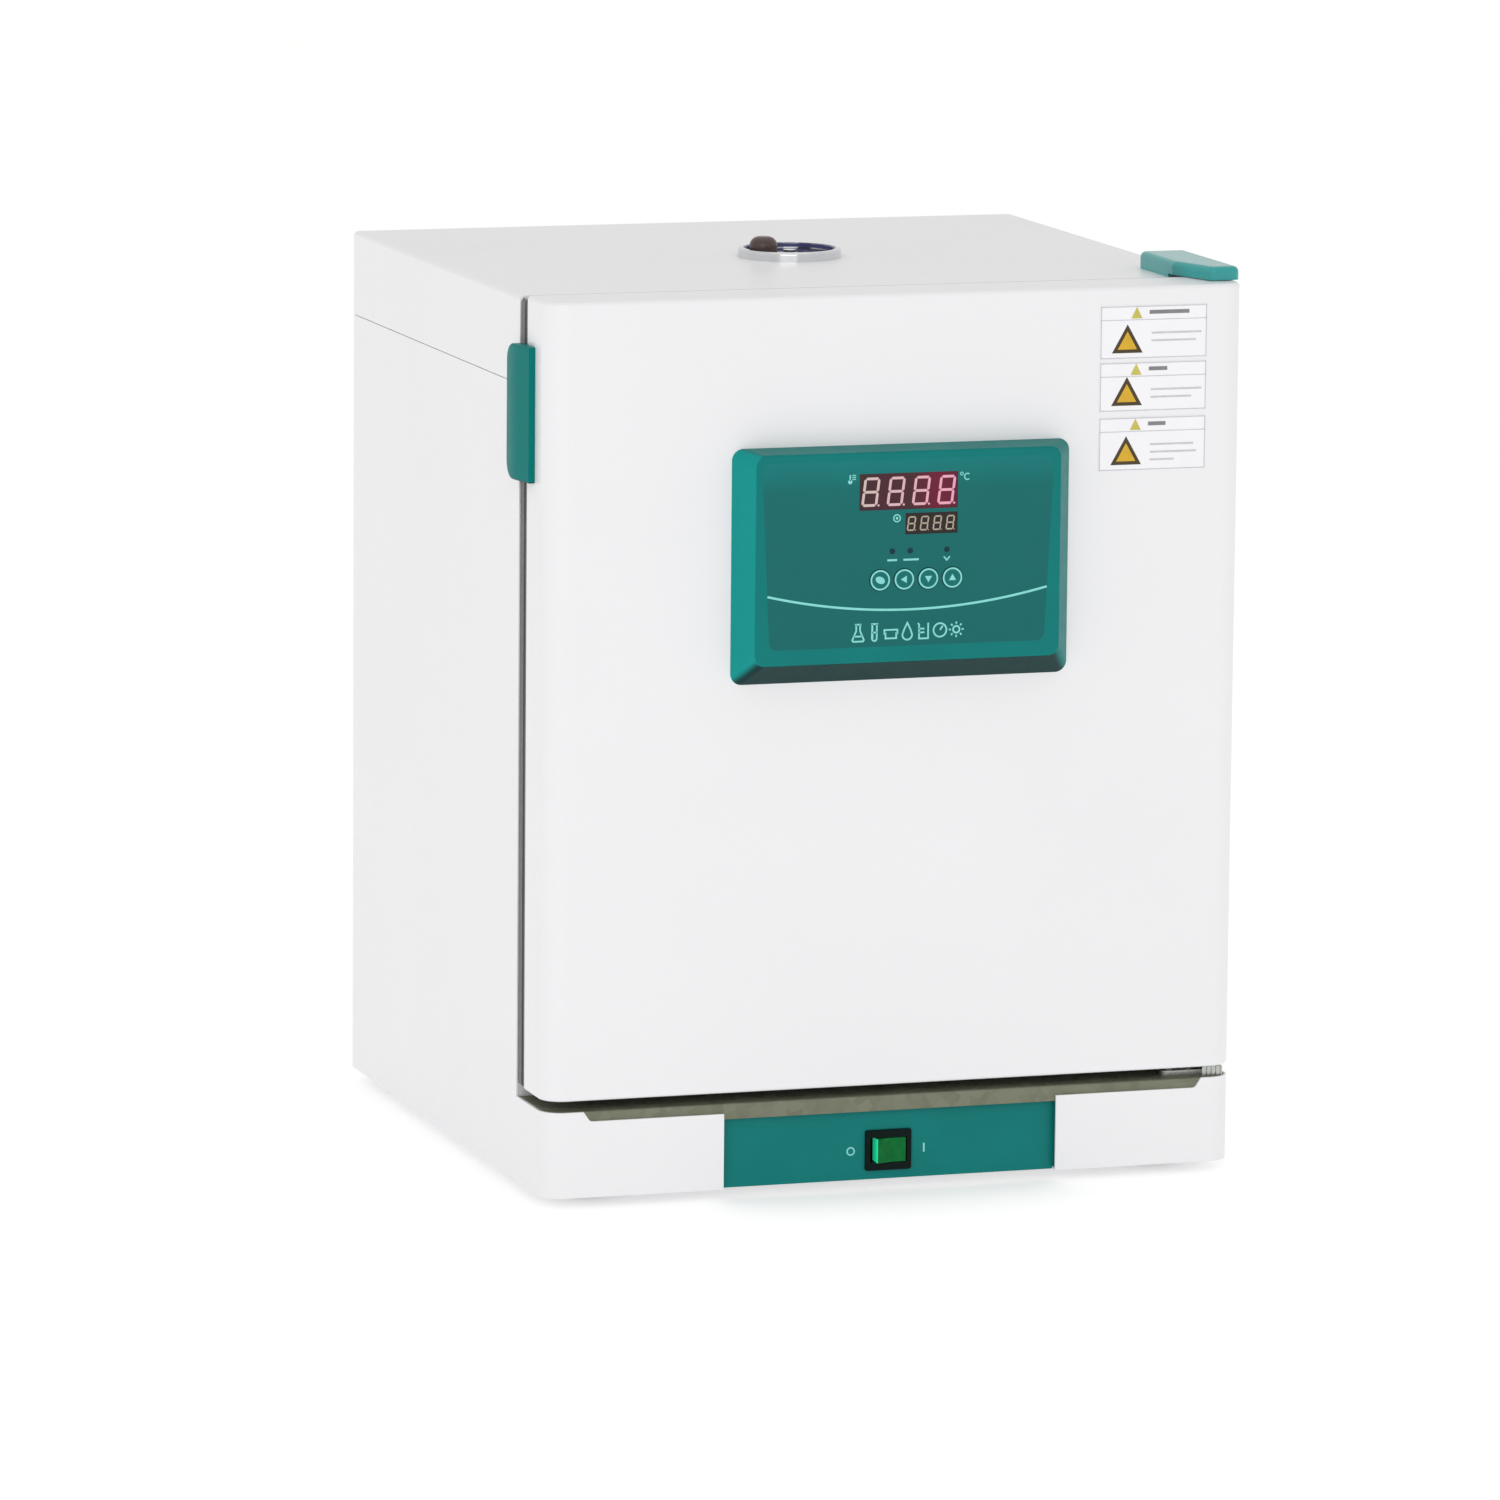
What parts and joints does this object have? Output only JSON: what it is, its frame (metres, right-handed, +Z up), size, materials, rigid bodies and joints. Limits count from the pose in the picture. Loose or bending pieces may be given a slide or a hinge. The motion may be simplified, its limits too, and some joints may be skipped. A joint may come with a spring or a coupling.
{
  "type": "laboratory incubator",
  "caption": "Bench-top incubator: white insulated cabinet, side-hinged door with a teal control panel, inner glass door, wire shelves, top vent and plinth switch.",
  "frame": {"origin": "middle of the footprint, on the plane that the feet stand on", "axes": "+Z up, the door faces -Y, its hinges are on the +X side"},
  "size_m": [0.3784, 0.3723, 0.4692],
  "materials": {
    "white_paint": "powder coat, satin",
    "galvanised": "galvanised sheet, dull",
    "stainless": "brushed",
    "wire_steel": "polished wire",
    "bright_chrome": "polished",
    "plated_steel": "zinc plated",
    "teal_plastic": "moulded, satin",
    "teal_film": "printed polyester, fine texture",
    "teal_key": "printed polyester over a key",
    "seal_grey": "moulded seal, matt",
    "insulation": "mineral wool felt",
    "black_plastic": "moulded, matt",
    "rocker_green": "translucent, lit from inside",
    "display_black": "tinted window, lit digits",
    "lamp": "tinted lamp",
    "board_green": "solder mask",
    "label_paper": "printed sticker",
    "glass": "clear toughened glass",
    "silicone": "translucent silicone",
    "lining_blue": "silicone lining",
    "knob_brown": "moulded phenolic",
    "rubber_black": "moulded rubber",
    "heater_steel": "annealed tube",
    "transformer_iron": "varnished laminations",
    "terminal_grey": "moulded",
    "bronze": "sintered bush"
  },
  "bodies": {
    "cabinet": {"outer_casing": "white_paint", "top_cover": "white_paint", "rear_panel": "white_paint", "deck_plate": "galvanised", "front_frame": "white_paint", "chamber_liner": "stainless", "insulation_sides": "insulation", "insulation_top": "insulation", "insulation_bottom": "insulation", "insulation_rear": "insulation", "shelf_rails": "stainless", "slotted_floor": "stainless", "heating_element": "heater_steel", "temperature_probes": "stainless", "feet": "rubber_black", "transformer": "transformer_iron", "solid_state_relay": "black_plastic", "terminal_block": "terminal_grey", "safety_thermostat": "plated_steel", "power_inlet": "black_plastic", "case_screws": "plated_steel", "switch_panel": "teal_plastic", "switch_housing": "black_plastic", "vent_flange": "bright_chrome", "vent_tube": "stainless", "vent_rivet": "bright_chrome", "vent_lining": "lining_blue", "upper_hinge_bracket": "plated_steel", "lower_hinge_bracket": "plated_steel", "bracket_screws": "plated_steel", "hinge_pins": "plated_steel", "hinge_cover": "teal_plastic", "glass_pivots": "bright_chrome", "glass_seal": "silicone"},
    "door": {"door_skin": "white_paint", "door_inner_panel": "white_paint", "door_insulation": "insulation", "door_seal": "seal_grey", "door_grip": "teal_plastic", "grip_screws": "plated_steel", "hinge_bushes": "bronze", "control_bezel": "teal_plastic", "control_film": "teal_film", "control_board": "board_green", "main_display": "display_black", "set_display": "display_black", "indicator_lamps": "lamp", "door_labels": "label_paper"},
    "glass_door": {"glass_pane": "glass", "glass_clamps": "bright_chrome", "glass_knob": "bright_chrome"},
    "power_rocker": {"power_rocker": "rocker_green"},
    "vent_damper": {"vent_damper": "bright_chrome", "vent_knob": "knob_brown"},
    "lower_shelf": {"lower_shelf": "wire_steel"},
    "upper_shelf": {"upper_shelf": "wire_steel"},
    "set_key": {"set_key": "teal_key"},
    "shift_key": {"shift_key": "teal_key"},
    "down_key": {"down_key": "teal_key"},
    "up_key": {"up_key": "teal_key"}
  },
  "joints": [
    {"name": "door_hinge", "type": "hinge", "parent": "cabinet", "child": "door", "pos_m": [0.1775, -0.1519, 0.258], "axis": [0, 0, 1], "range_deg": [0, 110]},
    {"name": "glass_door_hinge", "type": "hinge", "parent": "cabinet", "child": "glass_door", "pos_m": [0.132, -0.1294, 0.246], "axis": [0, 0, 1], "range_deg": [0, 110]},
    {"name": "rocker_pivot", "type": "hinge", "parent": "cabinet", "child": "power_rocker", "pos_m": [-0.00065, -0.164, 0.021], "axis": [0, 0, -1], "range_deg": [0, 18]},
    {"name": "vent_turn", "type": "hinge", "parent": "cabinet", "child": "vent_damper", "pos_m": [0.002, 0.0121, 0.461], "axis": [0, 0, 1], "range_deg": [0, 90]},
    {"name": "lower_shelf_slide", "type": "slide", "parent": "cabinet", "child": "lower_shelf", "axis": [0, -1, 0], "range_m": [0, 0.02]},
    {"name": "upper_shelf_slide", "type": "slide", "parent": "cabinet", "child": "upper_shelf", "axis": [0, -1, 0], "range_m": [0, 0.02]},
    {"name": "set_key_press", "type": "slide", "parent": "door", "child": "set_key", "axis": [0, 1, 0], "range_m": [0, 0.0004], "stiffness_N_per_m": 400},
    {"name": "shift_key_press", "type": "slide", "parent": "door", "child": "shift_key", "axis": [0, 1, 0], "range_m": [0, 0.0004], "stiffness_N_per_m": 400},
    {"name": "down_key_press", "type": "slide", "parent": "door", "child": "down_key", "axis": [0, 1, 0], "range_m": [0, 0.0004], "stiffness_N_per_m": 400},
    {"name": "up_key_press", "type": "slide", "parent": "door", "child": "up_key", "axis": [0, 1, 0], "range_m": [0, 0.0004], "stiffness_N_per_m": 400}
  ],
  "couplings": [
    {"joint": "glass_door_hinge", "follows": "door_hinge", "ratio": 1}
  ]
}
